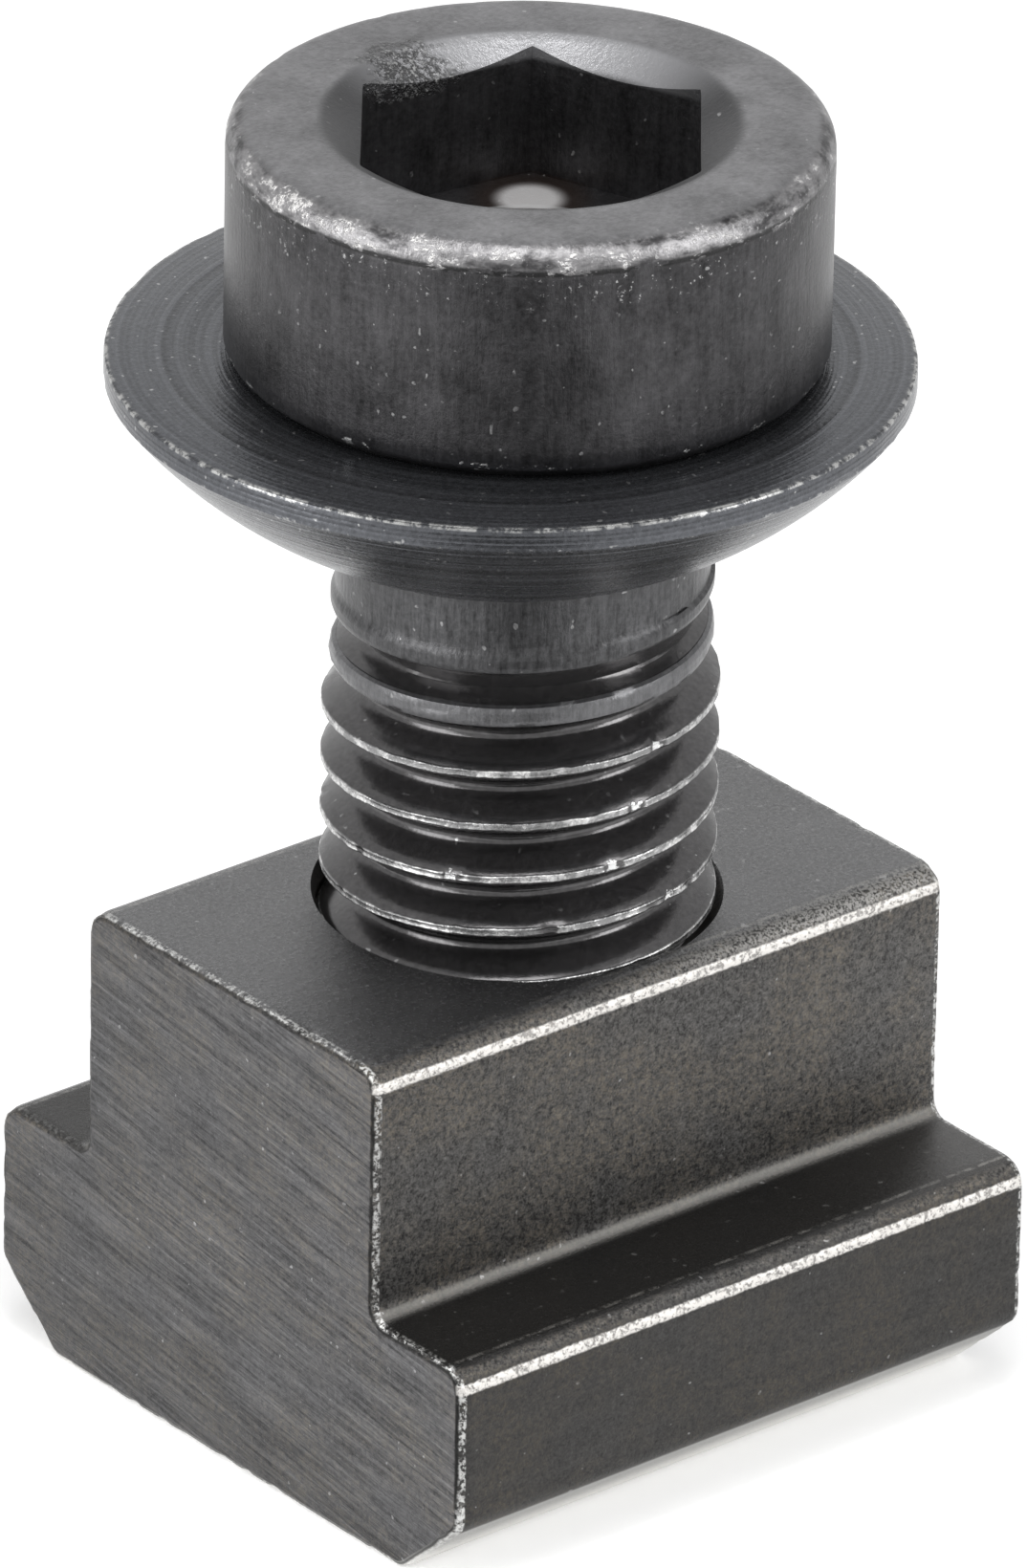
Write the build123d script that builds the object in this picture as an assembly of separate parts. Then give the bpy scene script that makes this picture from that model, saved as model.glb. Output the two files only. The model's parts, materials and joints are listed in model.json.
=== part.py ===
from build123d import *
import math
import os

# T-slot nut with a cap screw and a spherical washer, in millimetres.
# The origin is the centre of the nut's base, +Z runs up the screw, +X along the T-slot.

# ---- thread shared by the screw and the nut
PITCH = 1.75
CREST_RADIUS = 5.96
CREST_FLAT = 0.26
ROOT_FLAT = 0.30
FLANK_ANGLE = 30
THREAD_PLAY = 0.10
CREST_HEIGHT_AT_X = 0.64

# ---- nut
NUT_LENGTH = 22.0
FLANGE_WIDTH = 22.0
FLANGE_HEIGHT = 7.7
NECK_WIDTH = 13.7
NUT_HEIGHT = 16.0
PROFILE_ROUND = 0.85
INNER_ROUND = 0.5
BASE_CHAMFER_WIDTH = 2.65
BASE_CHAMFER_HEIGHT = 2.4
BASE_ROUND = 0.5
END_BEVEL = 0.25
MOUTH_CLEARANCE = 0.24

# ---- screw
TIP_HEIGHT = 3.85
SCREW_LENGTH = 30.0
HEAD_RADIUS = 9.0
HEAD_HEIGHT = 7.5
HEAD_TOP_ROUND = 0.75
HEAD_LOWER_BEVEL = 0.5
SHANK_RELIEF = 0.36
SHANK_LENGTH = 8.2
UNDERHEAD_ROUND = 0.5
RUNOUT_LENGTH = 1.3
FIRST_CREST_RISE = 0.12
FIRST_CREST_DROP = 1.6
FULL_CREST_DROP = 2.4
TIP_BEVEL = 0.9
SOCKET_ACROSS_FLATS = 10.0
SOCKET_DEPTH = 4.4
SOCKET_MOUTH_RADIUS = 6.2
SOCKET_MOUTH_ANGLE = 30
SOCKET_TURN = 50.2
GUIDE_RADIUS = 3.25
GUIDE_DEPTH = 3.2
DRILL_POINT_HALF_ANGLE = 59

# ---- washer
WASHER_RADIUS = 12.05
BORE_CLEARANCE = 0.54
WASHER_THICKNESS = 4.8
RIM_HEIGHT = 0.72
SEAT_SPHERE_RADIUS = 15.4
WASHER_BEVEL = 0.12
SEAT_GAP = 0.04
WASHER_SHIFT = (-0.365, 0.304)

# ---- worked out from the sizes above
TINY = 1e-6
FLANK_SLOPE = math.tan(math.radians(FLANK_ANGLE))
THREAD_DEPTH = (PITCH - CREST_FLAT - ROOT_FLAT) / (2 * FLANK_SLOPE)
ROOT_RADIUS = CREST_RADIUS - THREAD_DEPTH
MOUTH_RADIUS = CREST_RADIUS + MOUTH_CLEARANCE
SHANK_RADIUS = CREST_RADIUS - SHANK_RELIEF
FIRST_CREST_RADIUS = SHANK_RADIUS + FIRST_CREST_RISE
BORE_RADIUS = CREST_RADIUS + BORE_CLEARANCE
BEARING_HEIGHT = TIP_HEIGHT + SCREW_LENGTH
HEAD_TOP = BEARING_HEIGHT + HEAD_HEIGHT
SHANK_END = BEARING_HEIGHT - SHANK_LENGTH
WASHER_TOP = BEARING_HEIGHT - SEAT_GAP


def groove_width(radius):
    """Axial width of the screw's thread groove at a radius."""
    return ROOT_FLAT + 2 * FLANK_SLOPE * (radius - ROOT_RADIUS)


def ridge_width(radius):
    """Axial width of the screw's thread ridge at a radius."""
    return PITCH - groove_width(radius)


def helical_cutter(inner_radius, inner_width, outer_radius, outer_width, mid_height, bottom, top):
    """A trapezoid carried up the right-hand helix that passes mid_height above +X."""
    start = mid_height - (math.ceil((mid_height - bottom) / PITCH) + 1) * PITCH
    turns = math.ceil((top - start) / PITCH) + 1
    one_turn = Helix(pitch=PITCH, height=PITCH, radius=inner_radius)
    path = Wire([one_turn.moved(Pos(0, 0, turn * PITCH)) for turn in range(turns)])
    section = Plane.XZ * Polygon(
        (inner_radius, -inner_width / 2),
        (outer_radius, -outer_width / 2),
        (outer_radius, outer_width / 2),
        (inner_radius, inner_width / 2),
        align=None,
    )
    return Pos(0, 0, start) * sweep(section, path=path, is_frenet=True)


def turned(points):
    """A solid of revolution about Z from (radius, height) points."""
    return revolve(Plane.XZ * make_face(Polyline(*points, close=True)), axis=Axis.Z)


def nut_profile():
    """T section across the slot, with its drawn roundings."""
    half_neck = NECK_WIDTH / 2
    half_flange = FLANGE_WIDTH / 2
    half_base = half_flange - BASE_CHAMFER_WIDTH
    right = [
        (half_base, 0),
        (half_flange, BASE_CHAMFER_HEIGHT),
        (half_flange, FLANGE_HEIGHT),
        (half_neck, FLANGE_HEIGHT),
        (half_neck, NUT_HEIGHT),
    ]
    left = [(-y, z) for y, z in reversed(right)]
    section = make_face(Polyline(*right, *left, close=True))
    tops = [
        v
        for v in section.vertices()
        if abs(v.Y - NUT_HEIGHT) < TINY
        or (abs(v.Y - FLANGE_HEIGHT) < TINY and abs(abs(v.X) - half_flange) < TINY)
    ]
    section = fillet(tops, PROFILE_ROUND)
    inner = [
        v
        for v in section.vertices()
        if abs(v.Y - FLANGE_HEIGHT) < TINY and abs(abs(v.X) - half_neck) < TINY
    ]
    section = fillet(inner, INNER_ROUND)
    base = [
        v
        for v in section.vertices()
        if abs(v.Y) < TINY or abs(v.Y - BASE_CHAMFER_HEIGHT) < TINY
    ]
    return fillet(base, BASE_ROUND)


def make_nut():
    bar = extrude(Plane.YZ * nut_profile(), NUT_LENGTH / 2, both=True)
    ends = bar.faces().filter_by(Axis.X).edges()
    bar = chamfer(ends, END_BEVEL)
    bore_radius = ROOT_RADIUS + THREAD_PLAY
    major_radius = CREST_RADIUS + THREAD_PLAY
    bar -= extrude(Circle(bore_radius), NUT_HEIGHT)
    mouth_depth = MOUTH_RADIUS - bore_radius
    mouth = Cone(bore_radius, MOUTH_RADIUS, mouth_depth, align=(Align.CENTER, Align.CENTER, Align.MAX))
    bar -= Pos(0, 0, NUT_HEIGHT) * mouth
    bar -= Rot(180, 0, 0) * mouth
    play = 2 * THREAD_PLAY * FLANK_SLOPE
    thread = helical_cutter(
        bore_radius - THREAD_PLAY,
        ridge_width(bore_radius - THREAD_PLAY) + play,
        major_radius,
        ridge_width(major_radius) + play,
        CREST_HEIGHT_AT_X,
        0,
        NUT_HEIGHT,
    )
    return bar - thread


def socket():
    """Hexagon socket, its conical mouth and the key guide hole with its drill point."""
    floor = HEAD_TOP - SOCKET_DEPTH
    across_corners = SOCKET_ACROSS_FLATS / math.cos(math.radians(30))
    hexagon = RegularPolygon(across_corners / 2, 6, rotation=SOCKET_TURN)
    hole = Pos(0, 0, floor) * extrude(hexagon, SOCKET_DEPTH)
    flats_radius = SOCKET_ACROSS_FLATS / 2
    mouth_depth = (SOCKET_MOUTH_RADIUS - flats_radius) * math.tan(math.radians(SOCKET_MOUTH_ANGLE))
    from_top = (Align.CENTER, Align.CENTER, Align.MAX)
    mouth = Cone(flats_radius, SOCKET_MOUTH_RADIUS, mouth_depth, align=from_top)
    hole += Pos(0, 0, HEAD_TOP) * mouth
    point = GUIDE_RADIUS / math.tan(math.radians(DRILL_POINT_HALF_ANGLE))
    guide_floor = floor - GUIDE_DEPTH
    guide = turned([(0, floor), (GUIDE_RADIUS, floor), (GUIDE_RADIUS, guide_floor), (0, guide_floor - point)])
    return hole + guide


def make_screw():
    first_crest = SHANK_END - FIRST_CREST_DROP
    full_crest = SHANK_END - FULL_CREST_DROP
    blank = turned(
        [
            (0, TIP_HEIGHT),
            (CREST_RADIUS - TIP_BEVEL, TIP_HEIGHT),
            (CREST_RADIUS, TIP_HEIGHT + TIP_BEVEL),
            (CREST_RADIUS, full_crest),
            (FIRST_CREST_RADIUS, first_crest),
            (FIRST_CREST_RADIUS, SHANK_END),
            (SHANK_RADIUS, SHANK_END),
            (SHANK_RADIUS, BEARING_HEIGHT),
            (HEAD_RADIUS - HEAD_LOWER_BEVEL, BEARING_HEIGHT),
            (HEAD_RADIUS, BEARING_HEIGHT + HEAD_LOWER_BEVEL),
            (HEAD_RADIUS, HEAD_TOP),
            (0, HEAD_TOP),
        ]
    )
    top_edge = blank.edges().filter_by(GeomType.CIRCLE).group_by(Axis.Z)[-1]
    blank = fillet(top_edge, HEAD_TOP_ROUND)
    neck_edge = [
        e
        for e in blank.edges().filter_by(GeomType.CIRCLE)
        if abs(e.radius - SHANK_RADIUS) < TINY and abs(e.center().Z - BEARING_HEIGHT) < TINY
    ]
    blank = fillet(neck_edge, UNDERHEAD_ROUND)
    reach = CREST_RADIUS + THREAD_PLAY
    groove = helical_cutter(
        ROOT_RADIUS,
        ROOT_FLAT,
        reach,
        groove_width(reach),
        CREST_HEIGHT_AT_X + PITCH / 2,
        TIP_HEIGHT,
        SHANK_END + RUNOUT_LENGTH,
    )
    runout_slope = (SHANK_RADIUS - ROOT_RADIUS) / RUNOUT_LENGTH
    guard_inner = ROOT_RADIUS - THREAD_PLAY
    guard_outer = reach + THREAD_PLAY
    guard_bottom = SHANK_END - RUNOUT_LENGTH / 2
    guard_top = guard_bottom + (guard_outer - guard_inner) / runout_slope
    guard = turned(
        [
            (0, guard_bottom),
            (guard_inner, guard_bottom),
            (guard_outer, guard_top),
            (guard_outer, HEAD_TOP),
            (0, HEAD_TOP),
        ]
    )
    return blank - (groove - guard) - socket()


def make_washer():
    rim_bottom = WASHER_TOP - RIM_HEIGHT
    sphere_centre = rim_bottom + math.sqrt(SEAT_SPHERE_RADIUS ** 2 - WASHER_RADIUS ** 2)
    seat_bottom = WASHER_TOP - WASHER_THICKNESS
    disc = turned(
        [
            (BORE_RADIUS, seat_bottom),
            (WASHER_RADIUS, seat_bottom),
            (WASHER_RADIUS, WASHER_TOP - WASHER_BEVEL),
            (WASHER_RADIUS - WASHER_BEVEL, WASHER_TOP),
            (BORE_RADIUS + WASHER_BEVEL, WASHER_TOP),
            (BORE_RADIUS, WASHER_TOP - WASHER_BEVEL),
        ]
    )
    seat = Pos(0, 0, sphere_centre) * Sphere(SEAT_SPHERE_RADIUS)
    return Pos(*WASHER_SHIFT, 0) * (disc & seat)


os.makedirs("parts", exist_ok=True)
nodes = {
    "t_nut": make_nut(),
    "cap_screw": make_screw(),
    "spherical_washer": make_washer(),
}
for name, piece in nodes.items():
    piece.label = name
    export_step(piece, f"parts/{name}.step")
    print(name, round(piece.volume, 2), piece.bounding_box())
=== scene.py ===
# %% [markdown]
# # A T-slot nut with its clamping screw and its washer
# Three pieces of black-oxide steel. The nut slides in a machine table's T-slot, the screw
# clamps a part down on the table, and the domed washer lets the head sit a little askew.
# The frame gives the sizes and places, so the first step is to load it.

# %% Load the frame
import json
import math

import bmesh
import bpy
from mathutils import Matrix, Vector, noise


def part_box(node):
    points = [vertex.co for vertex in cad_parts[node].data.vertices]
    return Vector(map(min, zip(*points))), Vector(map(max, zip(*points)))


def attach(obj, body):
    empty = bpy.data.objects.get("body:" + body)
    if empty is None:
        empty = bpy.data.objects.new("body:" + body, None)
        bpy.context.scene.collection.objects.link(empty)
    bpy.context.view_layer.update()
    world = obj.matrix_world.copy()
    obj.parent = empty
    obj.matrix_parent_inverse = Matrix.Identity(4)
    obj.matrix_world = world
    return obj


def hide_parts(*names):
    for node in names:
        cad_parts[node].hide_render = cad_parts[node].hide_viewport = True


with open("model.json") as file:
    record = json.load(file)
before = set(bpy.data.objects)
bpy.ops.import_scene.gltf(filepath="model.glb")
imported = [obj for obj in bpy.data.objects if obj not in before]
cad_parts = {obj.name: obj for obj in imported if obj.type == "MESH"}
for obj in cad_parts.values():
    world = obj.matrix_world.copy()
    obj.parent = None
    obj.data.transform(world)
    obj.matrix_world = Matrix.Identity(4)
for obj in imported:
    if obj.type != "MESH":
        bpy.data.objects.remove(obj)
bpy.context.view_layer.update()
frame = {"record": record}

MM = 0.001


def box_mm(node):
    """Lowest and highest corner of a node, in millimetres."""
    low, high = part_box(node)
    return low / MM, high / MM


nut_low, nut_high = box_mm("t_nut")
screw_low, screw_high = box_mm("cap_screw")
washer_low, washer_high = box_mm("spherical_washer")
print("nut", nut_high, "screw", screw_low, screw_high, "washer", washer_low, washer_high)

# %% [markdown]
# ## Sizes
# All three pieces are modelled in millimetres and scaled to metres at the end, because
# small decimals are easier to read that way. The pitch is the travel of one full turn, so
# it comes from the joint that couples the turn to the travel.

# %% Sizes shared by the pieces
coupling = frame["record"]["behaviour"]["couplings"][0]["ratio"]
PITCH = coupling * math.tau / MM if coupling < 1 else math.tau / coupling / MM
CREST_RADIUS = 5.96
CREST_FLAT = 0.26
ROOT_FLAT = 0.30
FLANK_SLOPE = math.tan(math.radians(30))
THREAD_DEPTH = (PITCH - CREST_FLAT - ROOT_FLAT) / (2 * FLANK_SLOPE)
ROOT_RADIUS = CREST_RADIUS - THREAD_DEPTH
THREAD_PLAY = 0.10
CREST_HEIGHT_AT_X = 0.64
STEPS = 144
SOCKET_TURN = math.radians(50.2)
print("pitch", round(PITCH, 4), "thread depth", round(THREAD_DEPTH, 3))

# %% [markdown]
# ## Small modelling helpers
# Turned pieces are a chain of points spun about the Z axis. Each helper is one or two
# bmesh operators, so the pieces below read like the work on a lathe. A screw modifier
# could do the same, but its rings could not be reshaped afterwards one by one.


# %% Helpers for turned pieces
def chain(bm, points, turn=0.0):
    """Vertices at (radius, height) joined by edges, standing at an angle about Z."""
    verts = [bm.verts.new((r * math.cos(turn), r * math.sin(turn), z)) for r, z in points]
    edges = [bm.edges.new(pair) for pair in zip(verts, verts[1:])]
    return verts + edges


def turn_chain(bm, points, turn=0.0):
    """A full turn of a chain about Z, with its seam and its poles merged."""
    made = chain(bm, points, turn)
    bmesh.ops.spin(
        bm, geom=made, cent=(0, 0, 0), axis=(0, 0, 1), angle=math.tau, steps=STEPS, use_merge=True
    )
    bmesh.ops.remove_doubles(bm, verts=bm.verts[:], dist=1e-5)


def arc(centre, radius, start, end, count):
    """Points on an arc in the (radius, height) plane, angles in degrees from outwards."""
    angles = [math.radians(start + (end - start) * i / count) for i in range(count + 1)]
    return [(centre[0] + radius * math.cos(a), centre[1] + radius * math.sin(a)) for a in angles]


def radius_of(vert):
    """Distance of a vertex from the Z axis."""
    return math.hypot(vert.co.x, vert.co.y)


def set_radius(vert, radius):
    """Moves a vertex straight out or in until it is at a radius."""
    share = radius / radius_of(vert)
    vert.co.x *= share
    vert.co.y *= share


def helix_strip(bm, section, bottom, top, steps):
    """One pitch of section swept up a right-hand helix and cut flat at bottom and top."""
    turns = math.ceil((top - bottom) / PITCH) + 3
    start = CREST_HEIGHT_AT_X + PITCH * (math.floor((bottom - CREST_HEIGHT_AT_X) / PITCH) - 1)
    start += PITCH * SOCKET_TURN / math.tau
    made = chain(bm, [(r, z + start) for r, z in section], SOCKET_TURN)
    bmesh.ops.spin(
        bm, geom=made, cent=(0, 0, 0), axis=(0, 0, 1), dvec=(0, 0, PITCH / steps),
        angle=math.tau * turns, steps=steps * turns, use_merge=False,
    )
    bmesh.ops.remove_doubles(bm, verts=bm.verts[:], dist=1e-4)


def trim(bm, height, keep_above):
    """Cuts everything off on one side of a level plane."""
    geom = bm.verts[:] + bm.edges[:] + bm.faces[:]
    bmesh.ops.bisect_plane(
        bm, geom=geom, dist=1e-6, plane_co=(0, 0, height), plane_no=(0, 0, 1),
        clear_inner=keep_above, clear_outer=not keep_above,
    )


def rim_at(bm, height):
    """Open edges that lie at a height."""
    return [
        e for e in bm.edges
        if e.is_boundary and all(abs(v.co.z - height) < 1e-4 for v in e.verts)
    ]


def finish_piece(bm, name, body, node, sharp=32):
    """Turns a millimetre bmesh into a smooth-shaded piece that rides with its body."""
    bmesh.ops.recalc_face_normals(bm, faces=bm.faces[:])
    bmesh.ops.scale(bm, vec=(MM, MM, MM), verts=bm.verts[:])
    mesh = bpy.data.meshes.new(name)
    bm.to_mesh(mesh)
    open_edges = sum(1 for e in bm.edges if not e.is_manifold)
    bm.free()
    for face in mesh.polygons:
        face.use_smooth = True
    mesh.set_sharp_from_angle(angle=math.radians(sharp))
    piece = bpy.data.objects.new(name, mesh)
    bpy.context.scene.collection.objects.link(piece)
    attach(piece, body)
    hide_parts(node)
    print(name, "faces", len(mesh.polygons), "open edges", open_edges)
    return piece


def rough(place, size, seed=0.0):
    """Smooth noise from -1 to 1 at a place, with lumps about size wide."""
    return noise.noise(Vector(place) / size + Vector((seed, seed * 0.7, -seed)))


print("helpers ready,", STEPS, "steps in a full turn")

# %% [markdown]
# ## The screw
# A thread is one pitch of its section carried up a helix: spin takes a lift for each step,
# and the turns then meet edge to edge. This thread is rolled, so its crest is two lips
# with a seam between them. The plain shank, the shallow first crest and the bevelled tip
# are limits on the radius, which depend on the height alone.

# %% The screw's sizes
TIP = screw_low.z
TOP = screw_high.z
HEAD_RADIUS = (screw_high.x - screw_low.x) / 2
HEAD_HEIGHT = 7.5
BEARING = TOP - HEAD_HEIGHT
SHANK_RELIEF = 0.36
SHANK_LENGTH = 8.2
SHANK_RADIUS = CREST_RADIUS - SHANK_RELIEF
SHANK_END = BEARING - SHANK_LENGTH
JOIN_HEIGHT = SHANK_END + 1.2
FIRST_CREST_RADIUS = SHANK_RADIUS + 0.12
FULL_CREST_DROP = 2.4
RUNOUT_LENGTH = 1.3
RUNOUT_SLOPE = (SHANK_RADIUS - ROOT_RADIUS) / RUNOUT_LENGTH
TIP_BEVEL = 0.9
UNDERHEAD_ROUND = 0.5
HEAD_ROUND = 0.75
MOUTH_RADIUS = 6.2
FLATS_RADIUS = 5.0
SOCKET_DEPTH = 4.4
SOCKET_FLOOR = TOP - SOCKET_DEPTH
GUIDE_RADIUS = 3.25
GUIDE_DEPTH = 3.2
KNOCKS = ((259, 10), (280, 9), (211, 10), (266, 11), (274, 12), (240, 9), (30, 10))


def thread_section():
    """One pitch from seam to seam as (radius, height), with the lips of a rolled crest."""
    half = [
        (CREST_RADIUS - 0.014, 0.0),
        (CREST_RADIUS - 0.01, 0.045),
        (CREST_RADIUS, 0.085),
        (CREST_RADIUS - 0.03, 0.135),
    ]
    flank_top = CREST_FLAT / 2 + 0.02
    root_edge = PITCH / 2 - ROOT_FLAT / 2
    for share in (0.25, 0.5, 0.75, 0.92):
        height = flank_top + (root_edge - flank_top) * share
        half.append((CREST_RADIUS - 0.05 - (THREAD_DEPTH - 0.05) * share, height))
    half.append((ROOT_RADIUS + 0.01, root_edge + 0.05))
    lower = half + [(ROOT_RADIUS, PITCH / 2)]
    upper = [(r, PITCH - z) for r, z in reversed(half)]
    return lower + upper


def most_radius(z):
    """The blank's radius: bevelled tip, full thread, shallow first crest."""
    tip_limit = CREST_RADIUS - TIP_BEVEL + (z - TIP)
    full = SHANK_END - FULL_CREST_DROP
    share = min(max((z - full) / 0.8, 0.0), 1.0)
    return min(tip_limit, CREST_RADIUS + (FIRST_CREST_RADIUS - CREST_RADIUS) * share)


def least_radius(z):
    """The core's radius: the groove runs out into the plain shank."""
    runout = ROOT_RADIUS + (z - SHANK_END + RUNOUT_LENGTH / 2) * RUNOUT_SLOPE
    return min(max(runout, 0.5), SHANK_RADIUS)


def knock_places():
    """Where the crest was knocked, as places in mm, from each knock's angle and turn."""
    places = []
    for degrees, turn_number in KNOCKS:
        height = CREST_HEIGHT_AT_X + PITCH * (turn_number + degrees / 360)
        angle = math.radians(degrees)
        across_x = CREST_RADIUS * math.cos(angle)
        across_y = CREST_RADIUS * math.sin(angle)
        places.append(Vector((across_x, across_y, height)))
    return places


knocks = knock_places()
print("shank from", round(SHANK_END, 2), "to", round(BEARING, 2), "knocks", len(knocks))

# %% [markdown]
# ## Cutting the strip to a thread
# The strip is cut level at the tip and inside the shank. Then every point's radius is
# limited by the blank's outline, which makes the tip's bevel, the shallow first crest and
# the run-out at once. A real crest is never clean, so it is also chipped by noise and
# pressed in where it was knocked against another part.

# %% The threaded part
screw = bmesh.new()
helix_strip(screw, thread_section(), TIP, JOIN_HEIGHT, STEPS)
trim(screw, TIP, keep_above=True)
trim(screw, JOIN_HEIGHT, keep_above=False)
for vert in screw.verts:
    reach = radius_of(vert)
    height = vert.co.z
    limited = max(least_radius(height), min(reach, most_radius(height)))
    if reach > CREST_RADIUS - 0.2 and height < SHANK_END:
        chip = max(0.0, rough(vert.co, 0.55, 3.0) - 0.42) * 0.22
        limited += rough(vert.co, 0.28, 1.0) * 0.022 - chip
        knock_gap = min((vert.co - place).length for place in knocks)
        limited -= max(0.0, 0.34 - knock_gap) * 0.35
    set_radius(vert, limited)
    if reach > CREST_RADIUS - 0.2:
        vert.co.z += rough(vert.co, 0.5, 7.0) * 0.03 * (TIP + 0.1 < height < JOIN_HEIGHT - 1)
tip_edge = rim_at(screw, TIP)
bmesh.ops.holes_fill(screw, edges=tip_edge, sides=0)
print("thread", len(screw.faces), "faces")

# %% [markdown]
# ## The head and its socket
# The head is a turned chain that starts where the thread stops, runs round the head and
# ends in the guide hole's point. The hexagon is made from two of its rings: each vertex
# moves out to the flat of the hexagon at its own angle, and the upper ring also drops to
# where the conical mouth meets that flat.


# %% The head
def head_points():
    """The head's outline as (radius, height), from the shank to the guide hole's point."""
    points = [(SHANK_RADIUS, JOIN_HEIGHT)]
    steps = 6
    shank_top = BEARING - UNDERHEAD_ROUND
    rise = shank_top - JOIN_HEIGHT
    points += [(SHANK_RADIUS, JOIN_HEIGHT + rise * i / steps) for i in range(1, steps)]
    points += arc((SHANK_RADIUS + UNDERHEAD_ROUND, shank_top), UNDERHEAD_ROUND, 180, 90, 4)
    points += [(HEAD_RADIUS - 0.5, BEARING), (HEAD_RADIUS - 0.12, BEARING + 0.3)]
    side_top = TOP - HEAD_ROUND
    rows = 14
    rise = side_top - BEARING - 0.5
    points += [(HEAD_RADIUS, BEARING + 0.5 + rise * i / rows) for i in range(rows)]
    points += arc((HEAD_RADIUS - HEAD_ROUND, side_top), HEAD_ROUND, 0, 90, 7)
    points += [(7.6, TOP), (7.0, TOP), (MOUTH_RADIUS + 0.12, TOP), (MOUTH_RADIUS, TOP - 0.02)]
    points += [(5.9, TOP - 0.2)]
    points += [(FLATS_RADIUS, TOP - 0.6), (FLATS_RADIUS, TOP - 2.2), (FLATS_RADIUS, SOCKET_FLOOR)]
    guide_floor = SOCKET_FLOOR - GUIDE_DEPTH
    points += [(4.2, SOCKET_FLOOR), (GUIDE_RADIUS, SOCKET_FLOOR), (GUIDE_RADIUS, guide_floor)]
    points += [(0.0, guide_floor - GUIDE_RADIUS * FLANK_SLOPE)]
    return points


def hexagon_radius(angle):
    """Distance from the axis to the hexagon at an angle, corners a little rounded."""
    sector = (angle - SOCKET_TURN) % math.radians(60) - math.radians(30)
    return min(FLATS_RADIUS / math.cos(sector), FLATS_RADIUS * 1.15)


head = bmesh.new()
turn_chain(head, head_points(), SOCKET_TURN)
for vert in head.verts:
    reach = radius_of(vert)
    height = vert.co.z
    angle = math.atan2(vert.co.y, vert.co.x)
    if abs(reach - FLATS_RADIUS) < 1e-3 and height > SOCKET_FLOOR - 0.01:
        flat = hexagon_radius(angle)
        set_radius(vert, flat)
        if height > TOP - 1:
            vert.co.z = TOP - (MOUTH_RADIUS - flat) * FLANK_SLOPE
    elif reach > HEAD_RADIUS - 0.6 and height > TOP - 1.2:
        dent = max(0.0, rough(vert.co, 0.7, 5.0) - 0.38) * 0.2
        set_radius(vert, reach + rough(vert.co, 0.4, 2.0) * 0.018 - dent)
    elif reach > HEAD_RADIUS - 0.55 and height < BEARING + 0.6:
        dent = max(0.0, rough(vert.co, 0.6, 9.0) - 0.35) * 0.25
        set_radius(vert, reach - dent)
print("head", len(head.faces), "faces")
spare = bpy.data.meshes.new("head_part")
head.to_mesh(spare)
head.free()
screw.from_mesh(spare)
bpy.data.meshes.remove(spare)

# %% [markdown]
# ## Joining the head to the thread
# Both parts end in an open ring on the shank. The thread's ring has a few extra points
# where the helix crossed the cut, so every point of it is welded to the nearest point of
# the head's ring, and the extra ones vanish into their neighbours.

# %% Weld the two rings
loose = {v for e in rim_at(screw, JOIN_HEIGHT) for v in e.verts}
head_ring = {}
strip_ring = []
for vert in loose:
    turned_by = math.atan2(vert.co.y, vert.co.x) - SOCKET_TURN
    slot_number = round(turned_by / math.tau * STEPS) % STEPS
    from_head = any(f.calc_center_median().z > JOIN_HEIGHT for f in vert.link_faces)
    if from_head:
        head_ring[slot_number] = vert
    else:
        strip_ring.append((vert, slot_number))
bmesh.ops.weld_verts(screw, targetmap={v: head_ring[n] for v, n in strip_ring})
bmesh.ops.dissolve_degenerate(screw, dist=1e-5, edges=screw.edges[:])
cap_screw = finish_piece(screw, "clamping_screw", "screw", "cap_screw", sharp=38)

# %% [markdown]
# ## The washer
# It is turned: a flat top, a narrow rim and a spherical underside, with its edges barely
# broken. The sphere's centre lies above the washer, so the underside is one arc.

# %% The washer
RIM_HEIGHT = 0.72
SEAT_RADIUS = 15.4
BORE_RADIUS = CREST_RADIUS + 0.54
washer_radius = (washer_high.x - washer_low.x) / 2
washer_centre = (washer_high + washer_low) / 2
rim_bottom = washer_high.z - RIM_HEIGHT
sphere_height = rim_bottom + math.sqrt(SEAT_RADIUS**2 - washer_radius**2)
ring_radius = math.sqrt(SEAT_RADIUS**2 - (sphere_height - washer_low.z) ** 2)
start_angle = -math.degrees(math.acos(washer_radius / SEAT_RADIUS))
end_angle = -math.degrees(math.acos(ring_radius / SEAT_RADIUS))
washer_points = [
    (BORE_RADIUS, washer_low.z + 0.1),
    (BORE_RADIUS, washer_high.z - 0.15),
    (BORE_RADIUS + 0.15, washer_high.z),
    (9.3, washer_high.z),
    (washer_radius - 0.14, washer_high.z),
    (washer_radius - 0.03, washer_high.z - 0.04),
    (washer_radius, washer_high.z - 0.14),
    (washer_radius, rim_bottom + 0.3),
]
washer_points += arc((0, sphere_height), SEAT_RADIUS, start_angle, end_angle, 22)
washer_points += [(BORE_RADIUS + 0.1, washer_low.z), (BORE_RADIUS, washer_low.z + 0.1)]
washer = bmesh.new()
turn_chain(washer, washer_points)
for vert in washer.verts:
    if radius_of(vert) > washer_radius - 0.2:
        nick = max(0.0, rough(vert.co, 0.5, 4.0) - 0.4) * 0.2
        set_radius(vert, radius_of(vert) - nick)
bmesh.ops.translate(washer, vec=(washer_centre.x, washer_centre.y, 0), verts=washer.verts[:])
spherical_washer = finish_piece(
    washer, "domed_washer", "washer", "spherical_washer", sharp=30
)

# %% [markdown]
# ## The nut
# The nut is sawn from a drawn T-shaped bar: its long edges are rounded by the drawing and
# its end edges are raw. So the section is a few points, pushed out along the slot, and the
# bevel operator rounds each kind of edge by its own amount. Fine cuts along and across
# then give the raw edges enough points to be made ragged.

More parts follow.
